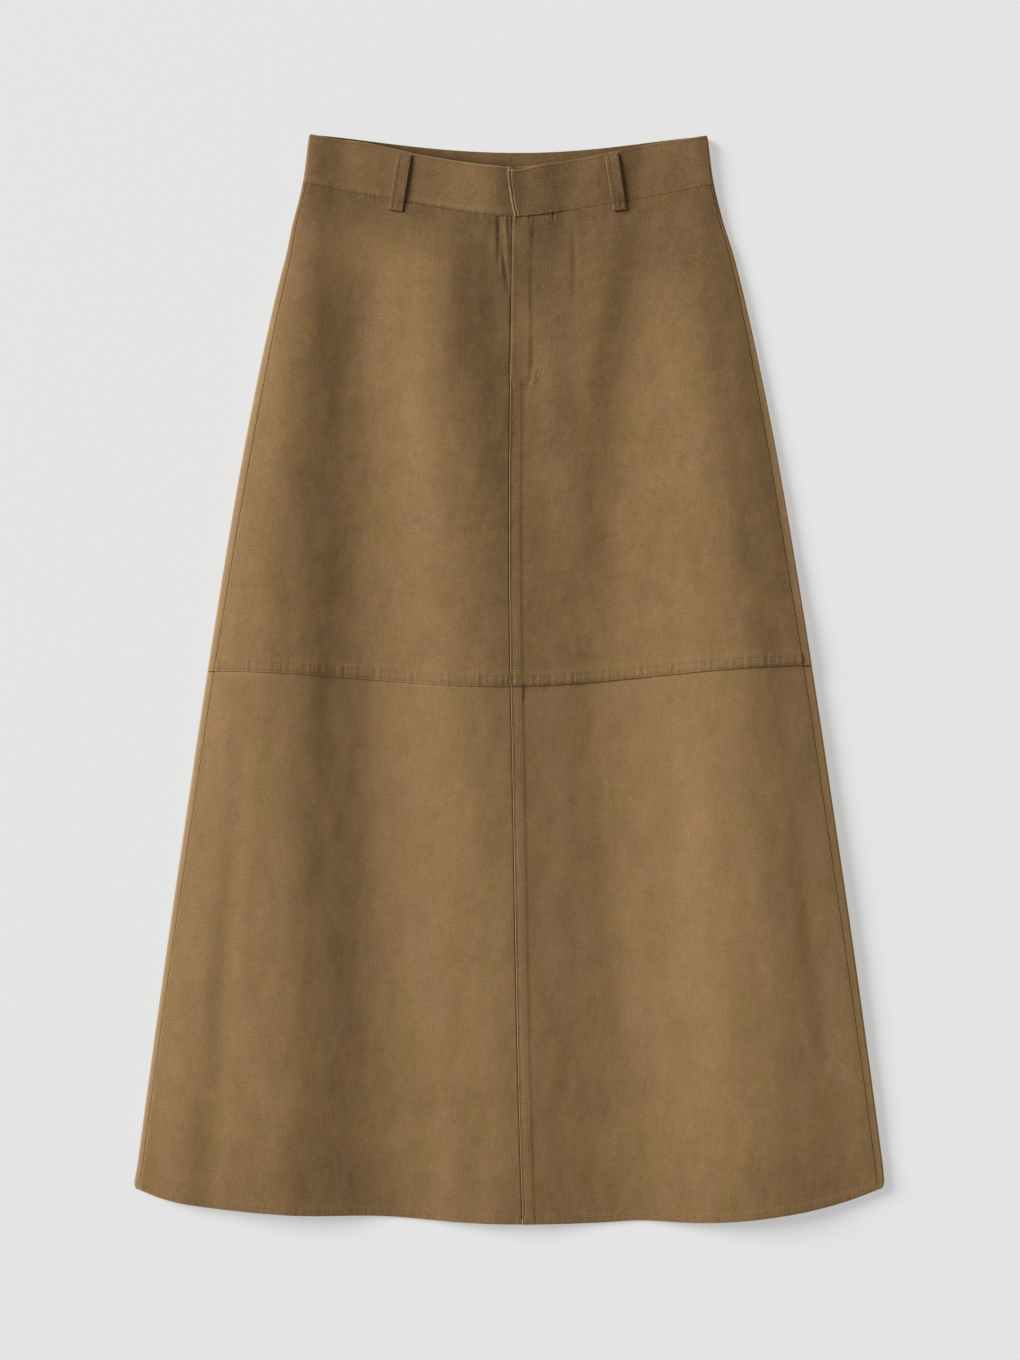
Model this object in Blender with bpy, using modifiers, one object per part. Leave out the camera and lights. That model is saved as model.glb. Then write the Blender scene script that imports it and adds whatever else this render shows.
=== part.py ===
# Long A-line skirt with a knee seam, laid flat on its back.
# Metres. +X is the viewer's right, +Y points to the waist, +Z is up; the floor is z = 0.

from collections import namedtuple

import bmesh
import bpy
import numpy as np

# Driving sizes: the cloth
WALL = 0.0012            # one layer of brushed cotton
BAND_WALL = 0.0018       # the waistband is doubled and interfaced
LOOP_WALL = 0.0012       # a belt loop is a folded strip
GAP = 0.0003             # between neighbouring pieces
WAIST_GAP = 0.0005       # between the panels and the waistband, whose lower edge leans
SPARE = 0.0002           # extra height of a front panel over the back that it lies on

# Driving sizes: the flat outline
CORNER_Y = 0.4790        # waist corners
SEAM_CORNER_Y = 0.4374   # waistband's lower edge, at the sides
FRONT_DIP = 0.0286       # how far the front waist lines drop to the middle
BACK_DIP = 0.0147
BACK_DIP_X = 0.020       # the back waist line is lowest this far right of the middle
VEE_ROUNDING = 0.15      # share of the half width over which the front waist line turns
YOKE_Y = 0.0104          # knee seam, mean of its two ends
YOKE_TILT = 0.0102       # it climbs to the viewer's right
YOKE_SAG = 0.0159
BACK_HEM_LIFT = 0.0025   # the back ends this much above the front

# Driving sizes: edges, seams and closure
STRIP = 0.0070           # of the back, brought round to the front at each side
SEAM_LEVEL = 0.0005      # the strip's edge beside the seam lies level
ROLL_REACH = 0.0024      # how far in from the side the strip turns under
EDGE_LIFT = 0.0016       # the right edge, where it folds over, keeps the front this much off the back
EDGE_SETTLE = 0.0400     # that lift has gone this far in
WAIST_RISE = 0.0009      # the panels climb to the thick waistband
WAIST_SETTLE = 0.0600    # over this much of their top
BAND_PROUD = 0.0004
BULGE_X = -0.0130        # the waistband swells beside its lapping end
BULGE_LEFT = 0.0440
BULGE_RIGHT = 0.0300
BULGE_RISE = 0.0024
BULGE_SETTLE = 0.0160    # the panels follow it this far below the seam
LAP_LIFT = 0.0017        # a panel that lies on another one's edge is raised this much
LAP_HOLD = 0.0280        # it stays raised this far from its own edge
LAP_SETTLE = 0.0700      # and has come down here
YOKE_LAP = 0.0090        # lower panels run this far under the upper ones
FLY_BOTTOM_Y = 0.2610
FLY_LAP = 0.0150         # left panel under the fly
FLY_TAPER = 0.0220       # its lap narrows to nothing over this height
FLY_EDGE = 0.0080        # its last even column is this far from the centre seam
BAND_LAP = 0.0250        # left end of the waistband under the right one
BAND_LIFT = 0.0022
BAND_END_SLANT = 0.0050  # the upper end leans this much over the band's height

# Driving sizes: belt loops
LOOP_WIDTH = 0.0123
LOOP_SEAT = 0.0007       # under a loop's sewn ends
LOOP_CLEAR = 0.0009      # added under its middle
LOOP_HEAD = 0.0030       # sewn flat at the top
LOOP_FOOT = 0.0070       # sewn flat at the bottom, past the waistband
LOOP_SQUARENESS = 5      # how evenly it stands off between them
SEAM_MARGIN = 0.0010     # a loop clears the waistband's lower edge by this much

# Mesh density
FRONT_COLUMNS = 18
UPPER_ROWS = 20
LOWER_ROWS = 18
BACK_ROWS = 10
ARC_COLUMNS = 6
FLAT_COLUMNS = 10
BAND_ROWS = 4
BAND_FRONT_COLUMNS = 14
LOOP_ROWS = 16

CLOTH_COLOUR = (0.222, 0.130, 0.061, 1.0)
LOOP_COLOUR = (0.235, 0.140, 0.066, 1.0)
CLOTH_ROUGHNESS = 0.9

# Outline of the skirt laid flat: half of its width, by the drop below the waist corners.
Side = namedtuple("Side", "drop half")
SIDE_LINE = (
    Side(0.000, 0.1750),
    Side(0.041, 0.1810),
    Side(0.091, 0.1934),
    Side(0.144, 0.2066),
    Side(0.214, 0.2215),
    Side(0.285, 0.2355),
    Side(0.355, 0.2477),
    Side(0.464, 0.2647),
    Side(0.708, 0.3003),
    Side(0.923, 0.3302),
)

# Centre front seam, by height on the garment.
Centre = namedtuple("Centre", "y x")
CENTRE_LINE = (
    Centre(-0.479, 0.0119),
    Centre(-0.396, 0.0092),
    Centre(-0.070, 0.0027),
    Centre(0.000, 0.0013),
    Centre(0.110, 0.0000),
    Centre(0.261, 0.0009),
    Centre(0.409, 0.0031),
)

# Hem line laid flat, from side to side: it hangs lower where a fold stands up.
Hem = namedtuple("Hem", "x y")
HEM_LINE = (
    Hem(-0.331, -0.4470),
    Hem(-0.308, -0.4553),
    Hem(-0.272, -0.4634),
    Hem(-0.237, -0.4676),
    Hem(-0.184, -0.4710),
    Hem(-0.114, -0.4714),
    Hem(-0.061, -0.4756),
    Hem(0.009, -0.4790),
    Hem(0.080, -0.4766),
    Hem(0.114, -0.4748),
    Hem(0.168, -0.4772),
    Hem(0.203, -0.4764),
    Hem(0.238, -0.4720),
    Hem(0.273, -0.4650),
    Hem(0.300, -0.4580),
    Hem(0.331, -0.4470),
)

# Soft folds of the front: where each crest runs, how far it spreads each way and how high it stands.
Fold = namedtuple("Fold", "y crest left right rise")
FOLDS = {
    "left edge": (
        Fold(-0.460, -0.290, 0.042, 0.032, 0.0040),
        Fold(-0.250, -0.270, 0.044, 0.046, 0.0036),
        Fold(-0.060, -0.246, 0.040, 0.046, 0.0028),
        Fold(0.080, -0.230, 0.034, 0.040, 0.0016),
        Fold(0.240, -0.212, 0.030, 0.030, 0.0000),
    ),
    "left side": (
        Fold(-0.460, -0.201, 0.140, 0.108, 0.0158),
        Fold(-0.250, -0.198, 0.116, 0.092, 0.0170),
        Fold(0.000, -0.199, 0.086, 0.080, 0.0160),
        Fold(0.200, -0.196, 0.054, 0.072, 0.0136),
        Fold(0.335, -0.184, 0.038, 0.050, 0.0096),
        Fold(0.400, -0.175, 0.028, 0.034, 0.0030),
    ),
    "left of centre": (
        Fold(-0.460, -0.008, 0.086, 0.112, 0.0102),
        Fold(-0.250, -0.011, 0.094, 0.104, 0.0121),
        Fold(0.000, -0.036, 0.081, 0.112, 0.0142),
        Fold(0.200, -0.048, 0.080, 0.090, 0.0166),
        Fold(0.320, -0.058, 0.076, 0.074, 0.0160),
        Fold(0.375, -0.058, 0.082, 0.078, 0.0106),
        Fold(0.410, -0.064, 0.070, 0.060, 0.0016),
        Fold(0.440, -0.064, 0.060, 0.060, 0.0000),
    ),
    "right of the fly": (
        Fold(-0.250, 0.045, 0.040, 0.040, 0.0000),
        Fold(0.000, 0.044, 0.045, 0.040, 0.0016),
        Fold(0.200, 0.050, 0.050, 0.044, 0.0048),
        Fold(0.335, 0.078, 0.056, 0.032, 0.0044),
        Fold(0.400, 0.090, 0.050, 0.028, 0.0024),
    ),
    "right side": (
        Fold(-0.460, 0.217, 0.114, 0.150, 0.0160),
        Fold(-0.250, 0.215, 0.116, 0.132, 0.0186),
        Fold(0.000, 0.204, 0.116, 0.088, 0.0186),
        Fold(0.200, 0.184, 0.090, 0.062, 0.0148),
        Fold(0.335, 0.167, 0.055, 0.046, 0.0092),
        Fold(0.400, 0.160, 0.045, 0.034, 0.0028),
    ),
}

# Belt loops, by the middle of their top and bottom ends.
Loop = namedtuple("Loop", "top_x top_y bottom_x bottom_y")
LOOPS = {
    "belt_loop_left": Loop(-0.0920, 0.4640, -0.0999, 0.4136),
    "belt_loop_right": Loop(0.0898, 0.4640, 0.0977, 0.4136),
}


# Curves and blends

def through(table, key, value, at):
    """Smooth curve through a table's rows, flat beyond its two ends."""
    xs = np.array([getattr(row, key) for row in table])
    ys = np.array([getattr(row, value) for row in table])
    slopes = np.gradient(ys, xs)
    i = int(np.clip(np.searchsorted(xs, at) - 1, 0, len(xs) - 2))
    step = xs[i + 1] - xs[i]
    t = min(max((at - xs[i]) / step, 0.0), 1.0)
    start = (1 + 2 * t) * (1 - t) ** 2 * ys[i] + t * (1 - t) ** 2 * step * slopes[i]
    end = t * t * (3 - 2 * t) * ys[i + 1] + t * t * (t - 1) * step * slopes[i + 1]
    return start + end


def mix(a, b, share):
    return a + (b - a) * share


def fade(distance, full, gone):
    """1 up to the distance full, 0 beyond gone, smooth between."""
    t = min(max((gone - distance) / (gone - full), 0.0), 1.0)
    return t * t * (3 - 2 * t)


def rounded_vee(u):
    """1 in the middle and 0 at the sides, nearly straight between."""
    a = VEE_ROUNDING
    return 1 - (np.hypot(u, a) - a) / (np.hypot(1, a) - a)


def off_centre_dip(x, half):
    """1 at the back waist line's lowest point and 0 at the sides."""
    reach = half - BACK_DIP_X if x > BACK_DIP_X else half + BACK_DIP_X
    return max(1 - ((x - BACK_DIP_X) / reach) ** 2, 0.0) ** 1.5


def bell(u):
    return 0.5 + 0.5 * np.cos(np.pi * min(abs(u), 1.0))


# Lines on the garment, as heights y over x

def half_width(y):
    return through(SIDE_LINE, "drop", "half", CORNER_Y - y)


def centre_x(y):
    return through(CENTRE_LINE, "y", "x", y)


def front_top(x):
    return CORNER_Y - FRONT_DIP * rounded_vee(x / half_width(CORNER_Y))


def front_waist(x):
    return SEAM_CORNER_Y - FRONT_DIP * rounded_vee(x / half_width(SEAM_CORNER_Y))


def back_top(x):
    return CORNER_Y - BACK_DIP * off_centre_dip(x, half_width(CORNER_Y))


def back_waist(x):
    return SEAM_CORNER_Y - BACK_DIP * off_centre_dip(x, half_width(SEAM_CORNER_Y))


def yoke(x):
    return YOKE_Y + YOKE_TILT * x - YOKE_SAG * bell(x / half_width(YOKE_Y))


def hem(x):
    return through(HEM_LINE, "x", "y", x)


def back_hem(x):
    return hem(x) + BACK_HEM_LIFT


def raised(line, by):
    """The same line, moved up the garment."""
    return lambda x: line(x) + by


# Height of the front's outer face

def folds_height(x, y):
    """Sum of the folds' crests, each a smooth bump across the skirt."""
    total = 0.0
    for rows in FOLDS.values():
        offset = x - through(rows, "y", "crest", y)
        spread = through(rows, "y", "left" if offset < 0 else "right", y)
        total += through(rows, "y", "rise", y) * bell(offset / spread)
    return total


def bulge(x):
    """1 where the waistband swells most, 0 away from its lap."""
    offset = x - BULGE_X
    return bell(offset / (BULGE_LEFT if offset < 0 else BULGE_RIGHT))


def front_height(x, y, tier, over=False):
    """Outer face of the lower panels, upper panels or waistband; over is for what closes on top."""
    height = 2 * WALL + GAP + SPARE + folds_height(x, y)
    height += EDGE_LIFT * fade(half_width(y) - x, STRIP, EDGE_SETTLE)
    if tier == "lower":
        return height
    height += BULGE_RISE * bulge(x) * fade(front_waist(x) - y, 0.0, BULGE_SETTLE)
    if tier == "band":
        height += WAIST_RISE + BAND_PROUD
        return height + (BAND_LIFT * fade(x, LAP_HOLD, LAP_SETTLE) if over else 0.0)
    height += WAIST_RISE * fade(front_waist(x) - y, 0.0, WAIST_SETTLE)
    height += LAP_LIFT * fade(y - yoke(x), LAP_HOLD, LAP_SETTLE)
    if over:
        across = fade(x - centre_x(y), LAP_HOLD, LAP_SETTLE)
        height += LAP_LIFT * across * fade(FLY_BOTTOM_Y - y, LAP_HOLD, LAP_SETTLE)
    return height


# Sheets of cloth

def named_material(name, colour):
    material = bpy.data.materials.new(name)
    material.use_nodes = True
    shader = material.node_tree.nodes["Principled BSDF"]
    shader.inputs["Base Color"].default_value = colour
    shader.inputs["Roughness"].default_value = CLOTH_ROUGHNESS
    shader.inputs["Metallic"].default_value = 0.0
    return material


def sheet(paths):
    """A grid moved to rows of points."""
    rows, columns = len(paths) - 1, len(paths[0]) - 1
    shape = bmesh.new()
    bmesh.ops.create_grid(shape, x_segments=columns, y_segments=rows, size=0.5)
    for vert in shape.verts:
        i = round((vert.co.x + 0.5) * columns)
        j = round((vert.co.y + 0.5) * rows)
        vert.co = paths[j][i]
    return shape


def finish_piece(name, shape, colour):
    mesh = bpy.data.meshes.new(name)
    shape.to_mesh(mesh)
    shape.free()
    mesh.materials.append(named_material(name + "_cloth", colour))
    piece = bpy.data.objects.new(name, mesh)
    garment.objects.link(piece)
    return piece


def lying_cloth(name, paths):
    """A sheet that lies nearly level, so its wall goes straight down and its edges stand upright."""
    shape = sheet(paths)
    made = bmesh.ops.extrude_face_region(shape, geom=shape.faces)["geom"]
    upper = [part for part in made if isinstance(part, bmesh.types.BMVert)]
    bmesh.ops.translate(shape, verts=upper, vec=(0.0, 0.0, WALL))
    bmesh.ops.recalc_face_normals(shape, faces=shape.faces)
    return finish_piece(name, shape, CLOTH_COLOUR)


def wrapped_cloth(name, paths, wall, colour=CLOTH_COLOUR):
    """A sheet that turns over, thickened inwards along its own normals."""
    piece = finish_piece(name, sheet(paths), colour)
    thicken = piece.modifiers.new("wall", "SOLIDIFY")
    thicken.thickness = wall
    thicken.offset = -1
    thicken.use_even_offset = True
    return piece


def side_levels(lower, upper, share, sign):
    """Height of a row of points where it meets the side."""
    return mix(lower(sign * half_width(lower(sign))), upper(sign * half_width(upper(sign))), share)


# Panels of the front

def front_panel(name, side, tier, lower, upper, rows):
    """side is -1 for the viewer's left panel, 1 for the right one, which closes over it."""
    paths = []
    for j in range(rows + 1):
        share = j / rows
        level = mix(lower(0.0), upper(0.0), share)
        side_y = side_levels(lower, upper, share, side)
        outer = side * (half_width(side_y) - STRIP)
        inner = centre_x(level) + side * GAP / 2
        if side < 0 and tier == "upper":
            xs = columns_under_fly(outer, inner, level)
        elif side < 0:
            xs = np.linspace(outer, inner, FRONT_COLUMNS + 1)
        else:
            xs = np.linspace(inner, outer, FRONT_COLUMNS + 1)
        row = []
        for x in xs:
            y = mix(lower(x), upper(x), share)
            row.append((x, y, front_height(x, y, tier, side > 0) - WALL))
        paths.append(row)
    return lying_cloth(name, paths)


def columns_under_fly(outer, inner, level):
    """Columns of the left upper panel: evenly to the fly, then three more under it."""
    tuck = FLY_LAP * fade(FLY_BOTTOM_Y - level, -FLY_TAPER, 0.0)
    edge = inner - FLY_EDGE
    return [*np.linspace(outer, edge, FRONT_COLUMNS - 2), *np.linspace(edge, inner + tuck, 4)[1:]]


# Back panels, brought round to the front at both sides

def side_roll(side, share, tier, lines):
    """Section of one side: (x, z, how far round to the underside), from the seam out and under."""
    y = side_levels(*lines, share, side)
    half = half_width(y)
    seam, turn_in = half - STRIP + GAP, half - ROLL_REACH
    height = front_height(side * seam, y, tier)
    radius = front_height(side * turn_in, y, tier) / 2
    points = [(side * seam, height, 0.0), (side * (seam + SEAM_LEVEL), height, 0.0)]
    for k in range(ARC_COLUMNS + 1):
        under = k / ARC_COLUMNS
        angle = np.pi * (0.5 - under)
        points.append((side * (turn_in + ROLL_REACH * np.cos(angle)), radius * (1 + np.sin(angle)), under))
    return points


def whole_row(share, right, left, front_lines, back_lines):
    """A row of points from the right side's section, under the skirt, to the left side's."""
    start, end = right[-1][0], left[-1][0]
    flat = [(mix(start, end, k / FLAT_COLUMNS), 0.0, 1.0) for k in range(1, FLAT_COLUMNS)]
    points = []
    for x, z, under in right + flat + left[::-1]:
        front_y = mix(front_lines[0](x), front_lines[1](x), share)
        back_y = mix(back_lines[0](x), back_lines[1](x), share)
        points.append((x, mix(front_y, back_y, under), z))
    return points


def back_row(share, tier, front_lines, back_lines):
    right, left = (side_roll(side, share, tier, front_lines) for side in (1, -1))
    return whole_row(share, right, left, front_lines, back_lines)


def back_panel(name, tier, front_lines, back_lines):
    rows = [back_row(j / BACK_ROWS, tier, front_lines, back_lines) for j in range(BACK_ROWS + 1)]
    return wrapped_cloth(name, rows, WALL)


# Waistband, one strip from its upper end round the back to its lower end

def band_row(share):
    lines = (front_waist, front_top)
    upper_end = centre_x(SEAM_CORNER_Y) - BAND_END_SLANT * share
    halves = []
    for side, inner in ((1, upper_end), (-1, BAND_LAP)):
        roll = side_roll(side, share, "band", lines)
        front = []
        for k in range(BAND_FRONT_COLUMNS):
            x = mix(inner, roll[0][0], k / BAND_FRONT_COLUMNS)
            y = mix(front_waist(x), front_top(x), share)
            front.append((x, front_height(x, y, "band", side > 0), 0.0))
        halves.append(front + roll)
    return whole_row(share, *halves, lines, (back_waist, back_top))


# Belt loops

def belt_loop(name, loop):
    """A strip sewn down at its two ends, standing clear of the waistband between them."""
    axis = np.array([loop.bottom_x - loop.top_x, loop.bottom_y - loop.top_y])
    length = np.hypot(*axis)
    across = np.array([-axis[1], axis[0]]) / length * LOOP_WIDTH / 2
    paths = []
    for j in range(LOOP_ROWS + 1):
        along = length * (1 - j / LOOP_ROWS)
        turn = np.clip((along - LOOP_HEAD) / (length - LOOP_HEAD - LOOP_FOOT), 0.0, 1.0)
        clear = LOOP_CLEAR * (1 - abs(2 * turn - 1) ** LOOP_SQUARENESS)
        middle = np.array([loop.top_x, loop.top_y]) + axis * along / length
        row = []
        for side in (-1, 0, 1):
            x, y = middle + side * across
            ground = front_height(x, y, "band" if y > front_waist(x) - SEAM_MARGIN else "upper")
            row.append((x, y, ground + LOOP_SEAT + clear + LOOP_WALL))
        paths.append(row)
    return wrapped_cloth(name, paths, LOOP_WALL, LOOP_COLOUR)


def clear_scene():
    for old in list(bpy.data.objects):
        bpy.data.objects.remove(old)


clear_scene()
garment = bpy.data.collections.new("a_line_skirt")
bpy.context.scene.collection.children.link(garment)

waist_edge = raised(front_waist, -WAIST_GAP)
yoke_above = raised(yoke, GAP / 2)
yoke_below = raised(yoke, -GAP / 2)
yoke_tucked = raised(yoke, YOKE_LAP)

for side, word in ((-1, "left"), (1, "right")):
    front_panel("front_upper_" + word, side, "upper", yoke, waist_edge, UPPER_ROWS)
    front_panel("front_lower_" + word, side, "lower", hem, yoke_tucked, LOWER_ROWS)

back_panel("back_upper", "upper", (yoke_above, waist_edge), (yoke_above, raised(back_waist, -WAIST_GAP)))
back_panel("back_lower", "lower", (hem, yoke_below), (back_hem, yoke_below))
wrapped_cloth("waistband", [band_row(j / BAND_ROWS) for j in range(BAND_ROWS + 1)], BAND_WALL)
for loop_name, loop_ends in LOOPS.items():
    belt_loop(loop_name, loop_ends)
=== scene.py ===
import math
import bpy
import numpy as np
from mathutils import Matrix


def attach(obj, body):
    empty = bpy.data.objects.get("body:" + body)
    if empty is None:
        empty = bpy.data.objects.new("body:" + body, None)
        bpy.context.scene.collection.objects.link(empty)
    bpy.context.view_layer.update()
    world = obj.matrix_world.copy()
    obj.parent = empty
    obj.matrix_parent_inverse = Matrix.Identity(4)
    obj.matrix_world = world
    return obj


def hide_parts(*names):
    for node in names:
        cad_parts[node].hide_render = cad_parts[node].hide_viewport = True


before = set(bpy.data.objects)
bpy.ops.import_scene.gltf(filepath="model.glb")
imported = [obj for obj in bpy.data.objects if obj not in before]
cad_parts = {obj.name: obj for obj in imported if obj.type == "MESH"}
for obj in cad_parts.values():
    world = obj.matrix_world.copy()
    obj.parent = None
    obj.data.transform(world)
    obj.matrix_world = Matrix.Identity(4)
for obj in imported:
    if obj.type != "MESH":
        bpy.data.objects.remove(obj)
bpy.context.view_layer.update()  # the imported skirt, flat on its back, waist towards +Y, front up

print("skirt: frame loaded, nodes", sorted(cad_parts))


# The flat skirt: sizes and lines that the pieces are cut to. Single sizes are in metres and tables in
# millimetres, with y = 0 halfway up and x = 0 at the middle.

cut = {
    "cornerY": 0.4801, "seamCornerY": 0.4371,  # waistband's two edges, at the sides
    "frontTopDip": 0.0277, "frontDip": 0.0286, "veeRounding": 0.15,  # how far they drop to the middle
    "topSwell": (0.0022, 0.121, 0.05),  # the front's top edge rises on both sides: height, x, reach
    "waistTilt": 0.0008,  # the left waist corner lies this much higher, the right one lower
    "backDip": 0.015, "backDipX": 0.004,  # the back waist line is lowest this far right of the middle
    "yokeY": 0.0104, "yokeTilt": 0.0102, "yokeSag": 0.0159,  # knee seam
    "yokeLap": 0.009,  # the lower panels run this far under the upper ones
    "backHemLift": 0.0025,  # the back ends this much above the front
    "hemCorner": 0.0036, "cornerHeight": 0.008,  # rounding of the corners, over this height
    "seamGap": 0.0003, "backSeamGap": 0.00005, "waistGap": 0.0001,
}

lines = {
    # drop below the waist corners, half of the width
    "side": [
        (0, 175.7), (41, 181), (91, 193.4), (144, 206.6), (214, 221.8), (285, 235.7), (355, 247.8),
        (464, 265.4), (515, 273.5), (580, 283.3), (708, 302.1), (800, 314.7), (870, 323.9), (923, 330.6)],
    # y, x of the centre front seam
    "centre": [(-479, 11), (-396, 8.3), (-70, 1.8), (0, 0.4), (110, -0.9), (261, 0), (409, 2.2)],
    # x, y of the hem, which hangs lower where a fold stands up
    "hem": [
        (-331, -447.8), (-308, -455.8), (-272, -462.8), (-237, -466.2), (-184, -469.9), (-114, -472.4),
        (-61, -476.4), (9, -478.5), (80, -478.3), (114, -476.6), (168, -477.3), (203, -474.9), (238, -470.8),
        (273, -464.7), (300, -457.7), (331, -446.2)],
    # y, width of the strip of the back that is brought round to the front, left (-1) and right (1)
    "strip": {
        -1: [(-470, 4.6), (-300, 4.9), (-203, 5.3), (-97, 6.2), (10, 6.4), (114, 7.1), (250, 7.3),
             (311, 6.3), (364, 5.4), (400, 3.8), (440, 3.4)],
        1: [(-470, 6.8), (-300, 7.3), (-150, 8), (0, 7.9), (114, 7.9), (200, 7.2), (258, 6.4),
            (311, 5.4), (364, 4.4), (400, 3.5), (440, 3.4)]},
}

cloth = {
    "wall": 0.001,  # one layer of brushed cotton
    "bandWall": 0.0017,  # doubled and interfaced
    "loopWall": 0.0011,
    "rimRadius": 0.00035,  # rounding of a cut or folded edge
    "columnStep": 0.0014,  # folds run up and down, so columns are closer than rows
    "rowStep": 0.0044,
    "restHeight": 0.0029,  # front's outer face where it lies on the back
}


def curveThrough(rows, at):
    # smooth curve through a table's rows of (position, value), flat beyond its two ends
    xs, ys = np.array(rows, float).T / 1000
    at = np.asarray(at, float)
    slopes = np.gradient(ys, xs)
    i = np.clip(np.searchsorted(xs, at) - 1, 0, len(xs) - 2)
    step = xs[i + 1] - xs[i]
    t = clamp((at - xs[i]) / step)
    start = (1 + 2 * t) * (1 - t) ** 2 * ys[i] + t * (1 - t) ** 2 * step * slopes[i]
    return start + t * t * (3 - 2 * t) * ys[i + 1] + t * t * (t - 1) * step * slopes[i + 1]


def mix(a, b, share):
    return a + (b - a) * share


def clamp(t):
    return np.clip(t, 0.0, 1.0)


def fade(distance, full, gone):
    # 1 up to the distance full, 0 beyond gone, smooth between
    t = clamp((gone - distance) / (gone - full))
    return t * t * (3 - 2 * t)


def bell(u):
    return 0.5 + 0.5 * np.cos(np.pi * clamp(np.abs(u)))


def swell(size, at):
    # size holds a height or tone, where its middle is and how far it reaches each way
    height, middle, reach = size
    return height * bell((at - middle) / reach)


def roundedVee(u):
    a = cut["veeRounding"]
    return 1 - (np.hypot(u, a) - a) / (np.hypot(1, a) - a)


def halfWidth(y):
    return curveThrough(lines["side"], cut["cornerY"] - np.asarray(y, float))


def stripWidth(side, y):
    return curveThrough(lines["strip"][side], y)


def centreX(y):
    return curveThrough(lines["centre"], y)


def hem(x):
    return curveThrough(lines["hem"], x)


def yoke(x):
    return cut["yokeY"] + cut["yokeTilt"] * x - cut["yokeSag"] * bell(x / halfWidth(cut["yokeY"]))


def waistLevel(cornerY, x):
    return cornerY - cut["waistTilt"] * x / halfWidth(cornerY)


def frontTop(x):
    cornerY = cut["cornerY"]
    level = waistLevel(cornerY, x) + swell(cut["topSwell"], np.abs(x))
    return level - cut["frontTopDip"] * roundedVee(x / halfWidth(cornerY))


def frontWaist(x):
    cornerY = cut["seamCornerY"]
    return waistLevel(cornerY, x) - cut["frontDip"] * roundedVee(x / halfWidth(cornerY))


def backLine(cornerY):
    half = halfWidth(cornerY)

    def line(x):
        reach = np.where(x > cut["backDipX"], half - cut["backDipX"], half + cut["backDipX"])
        dip = np.clip(1 - ((x - cut["backDipX"]) / reach) ** 2, 0.0, None) ** 1.5
        return waistLevel(cornerY, x) - cut["backDip"] * dip
    return line


def raised(line, by):
    return lambda x: line(x) + by


# Broad soft folds of the front. Columns: y, crest x, spread to the left, spread to the right, height.

folds = {
    "leftEdge": [
        (-460, -290, 42, 32, 4), (-250, -270, 44, 46, 3.6), (-60, -246, 40, 46, 2.8),
        (80, -230, 34, 40, 1.6), (240, -212, 30, 30, 0)],
    "leftSide": [
        (-460, -201, 140, 108, 15.8), (-250, -198, 116, 92, 17), (0, -199, 86, 80, 16),
        (200, -196, 54, 72, 13.6), (335, -184, 38, 50, 9.6), (400, -175, 28, 34, 3)],
    "leftOfCentre": [
        (-460, -8, 86, 112, 10.2), (-250, -11, 94, 104, 12.1), (0, -36, 81, 112, 14.2),
        (200, -48, 80, 90, 16.6), (320, -58, 76, 74, 16), (375, -58, 82, 78, 10.6), (410, -64, 70, 60, 1.6),
        (440, -64, 60, 60, 0)],
    "rightOfFly": [
        (-250, 45, 40, 40, 0), (0, 44, 45, 40, 1.6), (200, 50, 50, 44, 4.8), (335, 78, 56, 32, 4.4),
        (400, 90, 50, 28, 2.4)],
    "rightSide": [
        (-460, 217, 114, 150, 16), (-250, 215, 116, 132, 18.6), (0, 204, 116, 88, 18.6),
        (200, 184, 90, 62, 14.8), (335, 167, 55, 46, 9.2), (400, 160, 45, 34, 2.8)],
}

# Faint unevenness all over: size, height, how many times longer than wide.

rumples = [(56, 0.26, 2.2), (29, 0.12, 1.3), (15, 0.04, 1.1)]

# Smaller creases laid on the folds, each a stroke from one point to another. Columns: x and y of the
# start, x and y of the end, sideways bend, half width, height (below 0 is a trough).

creases = {
    "flyPucker": [
        (-11.2, 414, -9.8, 364, 0.4, 3, -1), (-9.4, 414, -1.6, 342, -0.8, 3, -1.2),
        (-4.6, 416, -1.6, 374, -0.2, 2.2, 0.6)],
    "waistGathers": [
        (17.2, 418, 17, 400, 0, 1.3, -0.7), (19.2, 418, 19.4, 402, 0, 1.3, 0.4),
        (27.6, 416, 27.9, 404, 0, 1.2, -0.4), (38.4, 419, 38.8, 402, 0, 1.3, -0.6),
        (40.2, 419, 40.8, 403, 0, 1.4, 0.4), (7, 418, 6.8, 403, 0, 1.3, -0.5)],
    "facingEdge": [
        (19, 414, 18, 370, 0.6, 2.8, -0.2), (18.4, 364, 18.8, 318, -0.6, 2.2, -0.3),
        (18.8, 312, 18, 266, 0.5, 3, -0.4)],
    "bagEdge": [(55.8, 404, 55.6, 328, 1, 4.2, -0.5)],
    "flyFoot": [(19.5, 268, 15, 259, 0, 3.4, -0.6), (23.5, 276, 18, 256, 0, 3.6, 0.5)],
    "kneeTuck": [
        (12.5, -5, 12.2, -19, 0, 1.1, -0.7), (14.2, -5, 14.6, -14, 0, 1.6, 0.3),
        (30.4, -4.8, 30.2, -9, 0, 1, -0.4)],
    "sideTrough": [(-230, 3, -268, -465, 0, 18, -1.4)],
}

# Soft ridges on the back, where it lifts off what it lies on.

backCreases = {
    "underFolds": [
        (-150, 330, -190, -200, 12, 16, 1.1), (-40, 250, -70, -60, -10, 13, 0.8),
        (70, 360, 110, 60, 8, 12, 0.9), (160, 120, 230, -400, -14, 18, 1.2), (20, -80, 5, -440, 10, 15, 1),
        (-230, -120, -262, -430, 6, 12, 0.8), (105, -140, 120, -430, -7, 11, 0.7)],
}

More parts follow.
